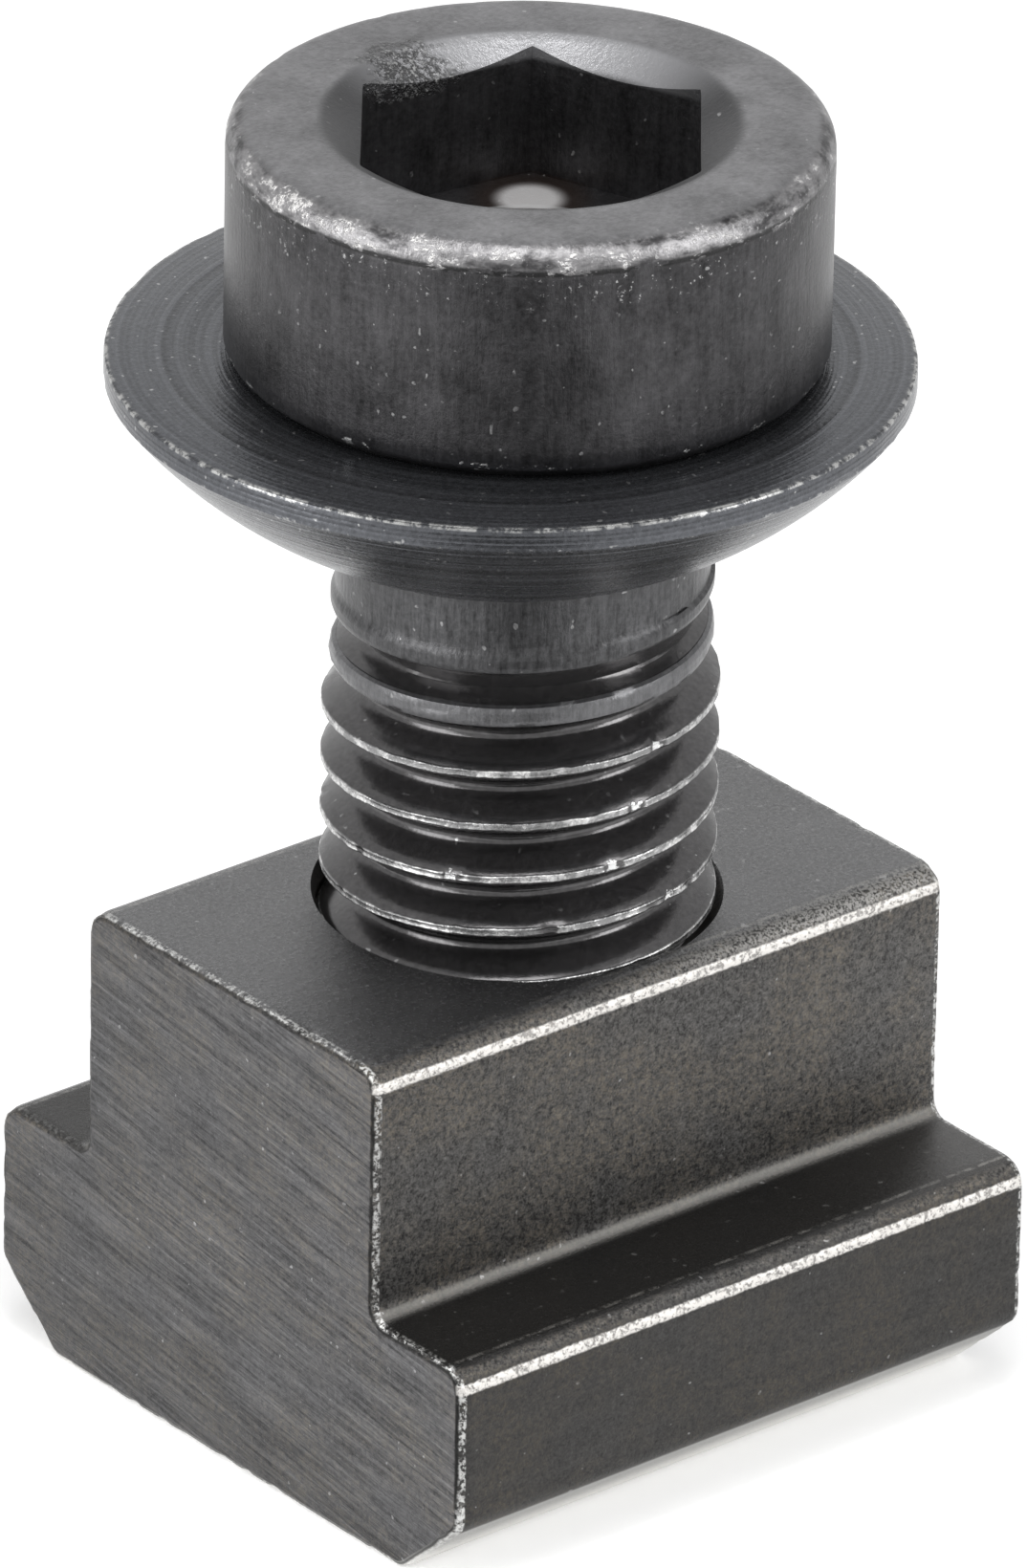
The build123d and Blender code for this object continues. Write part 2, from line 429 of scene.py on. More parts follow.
# %% The drawn bar
LENGTH = nut_high.x - nut_low.x
NECK_WIDTH = 13.7
HALF_FLANGE = nut_high.y
HALF_NECK = NECK_WIDTH / 2
FLANGE_HEIGHT = 7.7
CHAMFER_WIDTH = 2.65
CHAMFER_HEIGHT = 2.4
HALF_BASE = HALF_FLANGE - CHAMFER_WIDTH
PROFILE_ROUND = 0.85
INNER_ROUND = 0.5
BASE_ROUND = 0.28
END_BEVEL = 0.25
CUT = 0.22


def level_edges(bm, places, reach=0.01):
    """Edges along X that pass through one of the (y, z) places."""
    found = []
    for edge in bm.edges:
        a, b = (v.co for v in edge.verts)
        if abs(a.x - b.x) < LENGTH / 2:
            continue
        for y, z in places:
            if abs(abs(a.y) - y) < reach and abs(a.z - z) < reach:
                found.append(edge)
                break
    return found


def round_edges(bm, edges, offset, segments):
    """Rounds edges by an offset."""
    bmesh.ops.bevel(
        bm, geom=edges, offset=offset, offset_type="OFFSET", segments=segments,
        profile=0.5, affect="EDGES", material=-1, clamp_overlap=True,
    )


nut = bmesh.new()
right = [
    (HALF_BASE, 0),
    (HALF_FLANGE, CHAMFER_HEIGHT),
    (HALF_FLANGE, FLANGE_HEIGHT),
    (HALF_NECK, FLANGE_HEIGHT),
    (HALF_NECK, nut_high.z),
]
outline = right + [(-y, z) for y, z in reversed(right)]
section_face = nut.faces.new([nut.verts.new((-LENGTH / 2, y, z)) for y, z in outline])
pushed = bmesh.ops.extrude_face_region(nut, geom=[section_face])
far_verts = [g for g in pushed["geom"] if isinstance(g, bmesh.types.BMVert)]
bmesh.ops.translate(nut, vec=(LENGTH, 0, 0), verts=far_verts)
bmesh.ops.recalc_face_normals(nut, faces=nut.faces[:])
outer = [(HALF_NECK, nut_high.z), (HALF_FLANGE, FLANGE_HEIGHT)]
round_edges(nut, level_edges(nut, outer), PROFILE_ROUND, 6)
round_edges(nut, level_edges(nut, [(HALF_NECK, FLANGE_HEIGHT)]), INNER_ROUND, 4)
base = [(HALF_BASE, 0), (HALF_FLANGE, CHAMFER_HEIGHT)]
round_edges(nut, level_edges(nut, base), BASE_ROUND, 3)
end_faces = [f for f in nut.faces if abs(f.normal.x) > 0.99]
end_edges = list({e for f in end_faces for e in f.edges})
round_edges(nut, end_edges, END_BEVEL, 3)
print("bar", len(nut.faces), "faces,", len(end_faces), "ends")


# %% [markdown]
# ## Small squares
# The edges that run along the bar are divided first, and the rows between them follow.
# Then the long edges of every row are divided across, those of one length together, so
# that each face becomes a grid. Evenly small faces take dents without any creases.

# %% Cut the faces into small squares
along_bar = [e for e in nut.edges if abs(e.verts[0].co.x - e.verts[1].co.x) > 1]
bmesh.ops.subdivide_edges(nut, edges=along_bar, cuts=int(LENGTH / CUT), use_grid_fill=True)
ring_tops = {}
for edge in nut.edges:
    a, b = (v.co for v in edge.verts)
    if abs(a.x - b.x) < 1e-4 and edge.calc_length() > 1.0:
        ring_tops.setdefault(round(edge.calc_length(), 1), []).append(edge)
for length, edges in sorted(ring_tops.items()):
    bmesh.ops.subdivide_edges(nut, edges=edges, cuts=int(length / CUT), use_grid_fill=True)
print("cut bar", len(nut.faces), "faces")

# %% [markdown]
# ## The nut's thread
# The inner thread is the same helix with its section turned inside out and a little play.
# The small squares over the hole are taken away, and the gap between their stepped edge
# and the round mouth is filled with triangles, which is fine on a flat face.

# %% The tapped hole
MOUTH_CLEARANCE = 0.24
NUT_MOUTH = CREST_RADIUS + MOUTH_CLEARANCE
NUT_STEPS = 96


def inner_section():
    """One pitch of the nut's thread as (radius, height), from groove to groove."""
    deep = CREST_RADIUS + THREAD_PLAY
    shallow = ROOT_RADIUS + THREAD_PLAY
    flat = 0.12
    ridge = PITCH / 2 - 0.13
    lower = [(deep, 0), (deep, flat), (shallow, ridge)]
    upper = [(r, PITCH - z) for r, z in reversed(lower)]
    return lower + upper


hole = bmesh.new()
helix_strip(hole, inner_section(), 0, nut_high.z, NUT_STEPS)
trim(hole, 0, keep_above=True)
trim(hole, nut_high.z, keep_above=False)
for vert in hole.verts:
    edge_gap = min(vert.co.z, nut_high.z - vert.co.z)
    set_radius(vert, max(radius_of(vert), NUT_MOUTH - edge_gap))
spare = bpy.data.meshes.new("hole_part")
hole.to_mesh(spare)
hole.free()
over_hole = []
for face in nut.faces:
    middle = face.calc_center_median().z
    on_base_or_top = middle < 0.01 or middle > nut_high.z - 0.01
    near_axis = min(radius_of(v) for v in face.verts) < NUT_MOUTH + 0.1
    if abs(face.normal.z) > 0.99 and near_axis and on_base_or_top:
        over_hole.append(face)
bmesh.ops.delete(nut, geom=over_hole, context="FACES")
nut.from_mesh(spare)
bpy.data.meshes.remove(spare)
for height in (0, nut_high.z):
    rim = rim_at(nut, height)
    bmesh.ops.triangle_fill(nut, edges=rim, use_beauty=True, use_dissolve=False)
print("nut", len(nut.faces), "faces")

# %% [markdown]
# ## Raw edges
# A saw leaves a burr on the end edges and handling dents them. Points near an end edge
# are bitten inwards by smooth noise. The flat faces stay flat, as the slot needs them to.

# %% Make the nut's end edges ragged
for vert in nut.verts:
    outside = radius_of(vert) > NUT_MOUTH + 0.05
    end_gap = LENGTH / 2 - abs(vert.co.x)
    if outside and end_gap < END_BEVEL + 0.05:
        bite = max(0.0, rough(vert.co, 0.6, 6.0) - 0.1) * 0.16
        inward = Vector((0, -vert.co.y, nut_high.z / 2 - vert.co.z)).normalized()
        on_edge = end_gap > 0.02
        vert.co += inward * (bite + abs(rough(vert.co, 0.3, 8.0)) * 0.03) * on_edge
t_nut = finish_piece(nut, "tee_nut", "nut", "t_nut", sharp=28)

# %% [markdown]
# ## Writing shader maths as expressions
# Shader nodes are sums in disguise. This small class wraps a socket, so that an
# expression such as 1 - mask * 0.5 adds the Math nodes by itself.


# %% The shader helpers
class Value:
    """A number in a material that takes part in Python expressions."""

    def __init__(self, finish, socket):
        self.finish = finish
        self.socket = socket

    def math(self, operation, *others):
        values = {i: other for i, other in enumerate((self, *others))}
        return self.finish.add("ShaderNodeMath", {"operation": operation}, values)

    def __add__(self, other):
        return self.math("ADD", other)

    def __radd__(self, other):
        return self.math("ADD", other)

    def __sub__(self, other):
        return self.math("SUBTRACT", other)

    def __rsub__(self, other):
        return self.finish.number(other, "SUBTRACT", self)

    def __mul__(self, other):
        return self.math("MULTIPLY", other)

    def __rmul__(self, other):
        return self.math("MULTIPLY", other)

    def __truediv__(self, other):
        return self.math("DIVIDE", other)

    def __abs__(self):
        return self.math("ABSOLUTE")

    def above(self, low, high):
        """0 below low, 1 above high, smooth between."""
        settings = {"interpolation_type": "SMOOTHSTEP", "clamp": True}
        return self.finish.add(
            "ShaderNodeMapRange", settings, {"Value": self, "From Min": low, "From Max": high}
        )

    def near(self, middle, half_width, soft):
        """1 within half_width of middle, fading to 0 over soft."""
        return 1 - abs(self - middle).above(half_width, half_width + soft)


class Finish:
    """A material under construction, with its place on the piece in millimetres."""

    def __init__(self, name):
        self.material = bpy.data.materials.new(name)
        self.material.use_nodes = True
        self.nodes = self.material.node_tree.nodes
        self.links = self.material.node_tree.links
        self.shader = self.nodes["Principled BSDF"]
        coords = self.nodes.new("ShaderNodeTexCoord")
        self.place = self.add(
            "ShaderNodeVectorMath", {"operation": "SCALE"},
            {"Vector": coords.outputs["Object"], "Scale": 1 / MM}, "Vector",
        )
        split = self.nodes.new("ShaderNodeSeparateXYZ")
        self.links.new(self.place, split.inputs[0])
        self.x, self.y, self.z = (Value(self, s) for s in split.outputs)

    def add(self, kind, settings=None, inputs=None, output=0):
        """Adds a node: its settings first, then its sockets' values or links."""
        node = self.nodes.new(kind)
        for key, value in (settings or {}).items():
            setattr(node, key, value)
        for key, value in (inputs or {}).items():
            self.feed(node.inputs[key], value)
        socket = node.outputs[output]
        return Value(self, socket) if socket.type == "VALUE" else socket

    def feed(self, socket, value):
        if isinstance(value, Value):
            self.links.new(value.socket, socket)
        elif isinstance(value, bpy.types.NodeSocket):
            self.links.new(value, socket)
        elif socket.type == "VECTOR":
            socket.default_value = value[:3]
        else:
            socket.default_value = value

    def number(self, value, operation, other):
        return self.add("ShaderNodeMath", {"operation": operation}, {0: value, 1: other})

    def speckle(self, scale, detail=3.0, roughness=0.6, stretch=(1, 1, 1), turn=(0, 0, 0)):
        """Noise from 0 to 1, scale lumps a millimetre, made longer by stretch in a turned frame."""
        placed = self.add(
            "ShaderNodeMapping", {"vector_type": "TEXTURE"},
            {"Vector": self.place, "Rotation": turn, "Scale": stretch}, "Vector",
        )
        return self.add(
            "ShaderNodeTexNoise", {"noise_dimensions": "3D"},
            {"Vector": placed, "Scale": scale, "Detail": detail, "Roughness": roughness}, "Fac",
        )

    def mix(self, share, first, second):
        """Colour between first and second."""
        return self.add(
            "ShaderNodeMix", {"data_type": "RGBA"}, {0: share, 6: first, 7: second}, 2
        )

    def tone(self, colour, factor):
        """A colour made darker or lighter by a value."""
        grey = self.add(
            "ShaderNodeCombineXYZ", {}, {0: factor, 1: factor, 2: factor}, 0
        )
        return self.add(
            "ShaderNodeVectorMath", {"operation": "MULTIPLY"}, {0: colour, 1: grey}, 0
        )

    def wear(self, colour, roughness, metallic, height, depth):
        """Feeds the shader with what varies, and with a bump of a depth in millimetres."""
        self.feed(self.shader.inputs["Base Color"], colour)
        self.feed(self.shader.inputs["Roughness"], roughness)
        self.feed(self.shader.inputs["Metallic"], metallic)
        bump = self.add(
            "ShaderNodeBump", {}, {"Strength": 1.0, "Distance": depth * MM, "Height": height}, 0
        )
        self.links.new(bump, self.shader.inputs["Normal"])


def rgb(red, green, blue):
    """A colour without transparency."""
    return (red, green, blue, 1.0)


print("shader helpers ready")

# %% [markdown]
# ## The nut's finish
# Black oxide on sawn and drawn steel: a mottled brown-grey skin, saw marks across the end
# faces, painted highlight lines along the long edges and a painted floor reflection on the
# lower chamfers. The raw end edges are a ragged mix of bright burr and black gaps.

# %% Nut steel
steel = Finish("nut_black_oxide")
across = abs(steel.y)
along = abs(steel.x)
grain = steel.speckle(6.5, 5.0, 0.8)
fine = steel.speckle(11.0, 2.0, 0.7)
cloud = steel.speckle(0.35, 3.0, 0.6)
drawn = steel.speckle(2.2, 3.0, 0.6, stretch=(8, 1, 1))
SAW_TURN = math.radians(8)
saw = steel.speckle(6.0, 4.0, 0.8, stretch=(1, 26, 1), turn=(SAW_TURN, 0, 0))
saw_wide = steel.speckle(1.1, 3.0, 0.6, stretch=(1, 12, 1), turn=(SAW_TURN, 0, 0))
end = along.above(LENGTH / 2 - 0.03, LENGTH / 2 - 0.005)
top_face = steel.z.above(nut_high.z - 0.12, nut_high.z - 0.02)
flange_top = steel.z.near(FLANGE_HEIGHT, 0.06, 0.08) * across.above(HALF_NECK, HALF_NECK + 0.3)
flange_side = across.above(HALF_FLANGE - 0.3, HALF_FLANGE - 0.1)
mottle = (grain - 0.5) * 4.2 + (fine - 0.5) * 2.2 + (cloud - 0.5) * 0.6
band = steel.z.near(12.6, 1.0, 3.4)
side_tone = 0.84 + band * 0.28 + mottle * (1 - flange_side * 0.5) + (drawn - 0.5) * 0.3
end_tone = 1.0 + (saw - 0.5) * 3.4 + (saw_wide - 0.5) * 0.6
end_tone = end_tone + (grain - 0.5) * 2.6 + (cloud - 0.5) * 0.4
warm = grain.above(0.42, 0.62) * cloud.above(0.35, 0.6)
body = steel.mix(warm, rgb(0.074, 0.072, 0.070), rgb(0.082, 0.073, 0.061))
body = steel.tone(body, 1 - flange_side * 0.30)
ends = steel.mix(warm, rgb(0.087, 0.086, 0.088), rgb(0.093, 0.086, 0.077))
sides = steel.tone(body, side_tone.math("MAXIMUM", 0.25))
ends = steel.tone(ends, end_tone.math("MAXIMUM", 0.3))
colour = steel.mix(end, sides, ends)
tops = steel.tone(rgb(0.140, 0.140, 0.142), 1.0 + mottle * 0.55)
# Painted shade: the flange's top ledge beside the neck is painted dark, and painted lighter towards
# +x.
ledge = steel.tone(rgb(0.036, 0.035, 0.034), 1.0 + mottle * 0.3 + steel.x.above(4, 11) * 1.1)
colour = steel.mix(top_face, colour, tops)
colour = steel.mix(flange_top, colour, ledge)
# Painted reflection: the lower chamfers are painted light grey, lighter towards the bottom, for the
# white floor they mirror.
chamfer = (1 - steel.z.above(CHAMFER_HEIGHT - 0.25, CHAMFER_HEIGHT - 0.1)) * (1 - end)
floor_reflection_tone = 1.0 + mottle * 0.3 + (1 - steel.z.above(0.2, 1.8)) * 1.4
colour = steel.mix(chamfer, colour, steel.tone(rgb(0.30, 0.297, 0.288), floor_reflection_tone))
print("nut's skin", len(steel.nodes), "nodes")

# %% [markdown]
# ## Painted highlights and raw edges
# Painted highlights make bright lines along the two upper long edges, thin lines on the
# tops and a sheen in the fillet. The saw came out on one side, so its burr is strongest
# there: bright specks outside and a dark gap inside. Each line is a mask made from the place
# on the piece, broken up by noise, so it keeps to its edge whatever the mesh does.

# %% Nut edges
ragged = steel.speckle(2.6, 4.0, 0.75)
patchy = steel.speckle(0.9, 3.0, 0.6)
fine_rag = steel.speckle(7.0, 3.0, 0.7)
# Painted highlight: a bright line on each upper long rounding, broken into patches by noise.
line_width = 0.05 + ragged * 0.14
neck_line = 1 - abs(steel.z - (nut_high.z - 0.60)).above(line_width, line_width + 0.07)
neck_line = neck_line * across.above(HALF_NECK - 0.25, HALF_NECK - 0.12)
flange_line = 1 - abs(steel.z - (FLANGE_HEIGHT - 0.60)).above(line_width, line_width + 0.07)
flange_line = flange_line * flange_side
edge_highlight = (neck_line + flange_line) * (0.35 + fine_rag.above(0.38, 0.52) * 0.65) * (1 - end)
# Painted highlight: thin light lines on the top faces where the roundings begin.
flange_edge = across.near(HALF_FLANGE - PROFILE_ROUND + 0.1, 0.03, 0.06)
neck_edge = across.near(HALF_NECK - PROFILE_ROUND + 0.1, 0.03, 0.06)
thin_line = flange_edge * steel.z.near(FLANGE_HEIGHT, 0.06, 0.05) + neck_edge * top_face
depth_in = along - (LENGTH / 2 - END_BEVEL)
raw = depth_in.above(-0.05, 0.02) * (1 - end)
exit_side = 1 - steel.y.above(HALF_NECK - 1.5, HALF_NECK + 0.3) * 0.85
on_top_edge = steel.z.above(nut_high.z - 0.5, nut_high.z - 0.3)
outer_half = 1 - depth_in.above(0.10 + patchy * 0.08, 0.16 + patchy * 0.1)
burr = raw * outer_half * fine_rag.above(0.44, 0.56) * ragged.above(0.36, 0.52) * exit_side
gap = raw * (1 - outer_half) * ragged.above(0.30, 0.44) * exit_side * (1 - on_top_edge * 0.4)
corner_wear = steel.z.near(CHAMFER_HEIGHT, 0.5, 0.6) * raw * flange_side * ragged.above(0.4, 0.5)
# Painted sheen: the fillet between neck and flange is painted lighter, as a reflection.
fillet = steel.z.near(FLANGE_HEIGHT + 0.16, 0.06, 0.16) * across.near(HALF_NECK + 0.16, 0.1, 0.2)
colour = steel.mix(fillet * 0.55 * (1 - end), colour, rgb(0.17, 0.165, 0.155))
colour = steel.mix(thin_line * ragged.above(0.42, 0.62) * 0.5, colour, rgb(0.35, 0.34, 0.32))
colour = steel.mix(gap * 0.85, colour, rgb(0.010, 0.010, 0.010))
colour = steel.mix((burr + corner_wear * 0.6) * 0.9, colour, rgb(0.55, 0.55, 0.54))
shoulder = across.near(HALF_NECK - 0.45, 0.25, 0.15)
shoulder = shoulder * steel.z.above(nut_high.z - 0.55, nut_high.z - 0.4)
shoulder = shoulder * steel.x.above(-3, 7) * fine.above(0.42, 0.56) * (1 - end)
colour = steel.mix(shoulder * 0.7, colour, rgb(0.27, 0.265, 0.255))
# The painted highlight lines along the upper roundings.
colour = steel.mix(edge_highlight * 0.95, colour, rgb(0.62, 0.60, 0.575))
dust = steel.speckle(4.1, 0.0, 0.5).above(0.79, 0.82) * ragged.above(0.45, 0.6)
colour = steel.mix(dust * 0.35, colour, rgb(0.6, 0.6, 0.6))
relief = grain * 0.6 + end * (saw * 1.2 + saw_wide)
relief = relief + (1 - end) * drawn * 0.3 + edge_highlight * ragged * 0.9
polish = (top_face + flange_top) * 0.20
steel.wear(colour, 0.45 + (grain - 0.5) * 0.3 - polish - edge_highlight * 0.08, 0.88, relief, 0.04)
t_nut.data.materials.append(steel.material)
print("nut finish", len(steel.nodes), "nodes")

# %% [markdown]
# ## The screw's finish
# The thread is rolled smooth and shines like black glass; its crest is painted grey as a
# painted sheen, and its lips are bright, partly worn steel and partly painted highlight. The
# shank and the first crest keep the blank's satin grey. The head is satin black with faint
# upright streaks and a chipped top edge.

# %% Screw steel
black = Finish("screw_black_oxide")
level_place = black.add("ShaderNodeCombineXYZ", {}, {0: black.x, 1: black.y}, 0)
reach = black.add("ShaderNodeVectorMath", {"operation": "LENGTH"}, {0: level_place}, "Value")
grain = black.speckle(5.0, 4.0, 0.75)
cloud = black.speckle(0.5, 3.0, 0.6)
streak = black.speckle(1.5, 4.0, 0.7, stretch=(1, 1, 8))
fine_streak = black.speckle(6.0, 3.0, 0.7, stretch=(1, 1, 8))
ragged = black.speckle(1.3, 4.0, 0.7)
flat_rag = black.speckle(1.4, 4.0, 0.7, stretch=(2.4, 2.4, 1))
fine_rag = black.speckle(5.0, 3.0, 0.7)
is_head = black.z.above(BEARING - 0.02, BEARING + 0.02)
satin = reach.near((SHANK_RADIUS + FIRST_CREST_RADIUS) / 2, 0.10, 0.04) * (1 - is_head)
satin = satin * black.z.above(SHANK_END - 1.9, SHANK_END - 1.6)
satin = satin * (1 - reach.above(FIRST_CREST_RADIUS + 0.02, FIRST_CREST_RADIUS + 0.08))
first_band = satin * (1 - black.z.above(SHANK_END - 0.4, SHANK_END - 0.2))
# The crest is painted grey below as a painted sheen; its bright patches are partly worn steel and
# partly painted highlight.
crest = reach.above(CREST_RADIUS - 0.05, CREST_RADIUS - 0.005) * (1 - is_head) * (1 - satin)
bright_crest = crest * ragged.above(0.45, 0.62) * (0.55 + fine_rag.above(0.42, 0.56) * 0.45)
colour = black.tone(rgb(0.080, 0.078, 0.079), 1.0 + (grain - 0.5) * 1.4)
shank_tone = 1.0 + (fine_streak - 0.5) * 1.9 + (grain - 0.5) * 1.6 + first_band * 0.9
shank_colour = black.tone(rgb(0.062, 0.062, 0.064), shank_tone.math("MAXIMUM", 0.3))
head_tone = 1.0 + (streak - 0.5) * 1.3 + (fine_streak - 0.5) * 0.4
head_tone = head_tone + (grain - 0.5) * 1.7 + (cloud - 0.5) * 1.6
head_colour = black.tone(rgb(0.046, 0.045, 0.047), head_tone.math("MAXIMUM", 0.3))
top_tone = 1.0 + (cloud - 0.5) * 1.2 + (grain - 0.5) * 1.3
top_colour = black.tone(rgb(0.165, 0.164, 0.169), top_tone.math("MAXIMUM", 0.4))
colour = black.mix(satin, colour, shank_colour)
colour = black.mix(is_head, colour, head_colour)
on_top = black.z.above(TOP - 0.12, TOP - 0.01)
colour = black.mix(on_top, colour, top_colour)
print("screw's skin", len(black.nodes), "nodes")

# %% [markdown]
# ## The socket's mouth
# The conical mouth is painted dark, with a bright painted reflection on one side, and a
# slipped key bruised it beside that. On the floor a pale painted highlight sits in a brown
# stain. All of these are masks of the distance from a place, since each is one small mark
# and not a texture.

# %% The socket's mouth, with a painted reflection bright on one side
turn_x = math.cos(SOCKET_TURN)
turn_y = math.sin(SOCKET_TURN)
facing = (black.x * turn_x + black.y * turn_y) / reach
inside = 1 - reach.above(MOUTH_RADIUS - 0.1, MOUTH_RADIUS + 0.25)
mouth = inside * reach.above(FLATS_RADIUS - 0.05, FLATS_RADIUS)
mouth = mouth * black.z.above(TOP - 0.75, TOP - 0.55)
# Painted reflection in the conical mouth: painted dark all round and bright on the side facing the
# socket's turn.
mouth_reflection = mouth * facing.above(0.30, 0.95)
colour = black.mix(mouth * 0.85, colour, rgb(0.05, 0.05, 0.052))
colour = black.mix(mouth_reflection * 0.95, colour, rgb(0.30, 0.30, 0.31))
off_x = black.x + 0.2
off_y = black.y - 5.2
bruise_place = black.add("ShaderNodeCombineXYZ", {}, {0: off_x, 1: off_y}, 0)
bruise_gap = black.add("ShaderNodeVectorMath", {"operation": "LENGTH"}, {0: bruise_place}, "Value")
bruise = 1 - (bruise_gap + (ragged - 0.5) * 3.4).above(0.9, 1.7)
bruise = bruise * fine_rag.above(0.36, 0.5) * black.z.above(TOP - 1.2, TOP - 1.0)
colour = black.mix(bruise * 0.9, colour, rgb(0.028, 0.028, 0.028))
colour = black.mix(bruise * fine_rag.above(0.53, 0.66) * 0.8, colour, rgb(0.34, 0.34, 0.34))
under_floor = 1 - black.z.above(SOCKET_FLOOR + 0.05, SOCKET_FLOOR + 0.1)
low_in_socket = is_head * under_floor * (1 - reach.above(5.9, 6.0))
SPOT_RADIUS = 3.9
spot_x = black.x - SPOT_RADIUS * turn_x
spot_y = black.y - SPOT_RADIUS * turn_y
spot_place = black.add("ShaderNodeCombineXYZ", {}, {0: spot_x, 1: spot_y}, 0)
spot_gap = black.add("ShaderNodeVectorMath", {"operation": "LENGTH"}, {0: spot_place}, "Value")
# Painted highlight: a pale spot on the socket's floor, with less metallic under it.
floor_highlight = low_in_socket * (1 - spot_gap.above(0.7, 1.3))
stain = low_in_socket * (1 - spot_gap.above(1.2, 2.2))
colour = black.mix(stain * 0.8, colour, rgb(0.06, 0.042, 0.034))
colour = black.mix(floor_highlight, colour, rgb(0.46, 0.45, 0.45))
deep_ring = reach.near(GUIDE_RADIUS + 0.15, 0.05, 0.06) * is_head * under_floor
colour = black.mix(deep_ring * 0.8, colour, rgb(0.5, 0.5, 0.5))

print("socket done,", len(black.nodes), "nodes")

# %% [markdown]
# ## Chips and knocks
# The head's top edge was hit most: a worn grey band with bright chips and thin cracks.
# The lower edge has a few nicks. The crest of the thread is bright in patches, and
# brightest where the mesh was knocked in, so colour and shape agree.

# %% Chips, nicks, and crests partly worn and partly painted bright
edge = reach.above(HEAD_RADIUS - 0.70, HEAD_RADIUS - 0.5)
round_band = black.z.above(TOP - HEAD_ROUND - 0.25, TOP - HEAD_ROUND + 0.2)
round_band = round_band * edge * (1 - on_top)
worn_edge = round_band * flat_rag.above(0.36, 0.60)
chipped = round_band * flat_rag.above(0.55, 0.62) * fine_rag.above(0.44, 0.60)
crack = black.z.near(TOP - HEAD_ROUND - 0.05, 0.04, 0.10) * edge * flat_rag.near(0.50, 0.05, 0.03)
speck_band = black.z.near(TOP - 1.1, 0.5, 0.5) * edge
speck_band = speck_band * fine_rag.above(0.62, 0.66) * ragged.above(0.45, 0.55)
lower = black.z.near(BEARING + 0.35, 0.14, 0.1) * reach.above(HEAD_RADIUS - 0.3, HEAD_RADIUS - 0.1)
nicks = lower * ragged.above(0.57, 0.63)
colour = black.mix(worn_edge * 0.75, colour, rgb(0.30, 0.295, 0.30))
colour = black.mix(chipped * 0.8, colour, rgb(0.66, 0.65, 0.64))
colour = black.mix(crack * 0.8, colour, rgb(0.01, 0.01, 0.01))
colour = black.mix(speck_band * 0.6, colour, rgb(0.5, 0.5, 0.5))
colour = black.mix(nicks * 0.75, colour, rgb(0.55, 0.55, 0.54))
# Painted sheen on the whole crest, then bright patches: partly worn steel, partly painted
# highlight.
colour = black.mix(crest * 0.8, colour, rgb(0.27, 0.27, 0.27))
colour = black.mix(bright_crest * 0.9, colour, rgb(0.74, 0.735, 0.73))
knocked = 0
for knock in knocks[:5]:
    gone = black.add(
        "ShaderNodeVectorMath", {"operation": "DISTANCE"}, {0: black.place, 1: knock}, "Value"
    )
    knocked = knocked + (1 - (gone + (fine_rag - 0.5) * 0.9).above(0.10, 0.22))
knocked = knocked.math("MINIMUM", 1.0) * reach.above(CREST_RADIUS - 0.5, CREST_RADIUS - 0.4)
colour = black.mix(knocked * 0.85, colour, rgb(0.75, 0.75, 0.75))
dust = black.speckle(4.4, 0.0, 0.5).above(0.79, 0.82) * ragged.above(0.45, 0.6)
colour = black.mix(dust * 0.35, colour, rgb(0.6, 0.6, 0.6))
shine = 0.17 + is_head * 0.19 + satin * 0.16 + (grain - 0.5) * 0.12 + crest * 0.1
relief = grain * (0.2 + is_head * 0.5 + satin * 0.5) + fine_streak * (is_head + satin) * 0.5
relief = relief + (chipped + nicks + crest + bruise + knocked) * fine_rag * 1.2
black.wear(colour, shine, 0.85 - floor_highlight * 0.75, relief, 0.03)
cap_screw.data.materials.append(black.material)
print("screw finish", len(black.nodes), "nodes")

# %% [markdown]
# ## The washer's finish
# The tool left fine rings on every face of the washer. Rings are noise of the distance
# from the washer's own axis, which is a little beside the screw's.

# %% Washer steel
turned = Finish("washer_black_oxide")
beside_x = turned.x - washer_centre.x
beside_y = turned.y - washer_centre.y
flat_place = turned.add("ShaderNodeCombineXYZ", {}, {0: beside_x, 1: beside_y}, 0)
out = turned.add("ShaderNodeVectorMath", {"operation": "LENGTH"}, {0: flat_place}, "Value")
ring_place = turned.add("ShaderNodeCombineXYZ", {}, {0: out, 1: turned.z * 1.4}, 0)
fine_cut = {"Vector": ring_place, "Scale": 5.0, "Detail": 3.0}
wide_cut = {"Vector": ring_place, "Scale": 1.3, "Detail": 2.0}
rings = turned.add("ShaderNodeTexNoise", {}, fine_cut, "Fac")
wide_rings = turned.add("ShaderNodeTexNoise", {}, wide_cut, "Fac")
grain = turned.speckle(6.0, 3.0, 0.65)
cloud = turned.speckle(0.4, 3.0, 0.6)
ragged = turned.speckle(2.4, 3.0, 0.7)
underside = 1 - turned.z.above(rim_bottom - 0.1, rim_bottom)
tone = 1.0 + (rings - 0.5) * (1.8 + underside * 2.6) + (wide_rings - 0.5) * 0.3
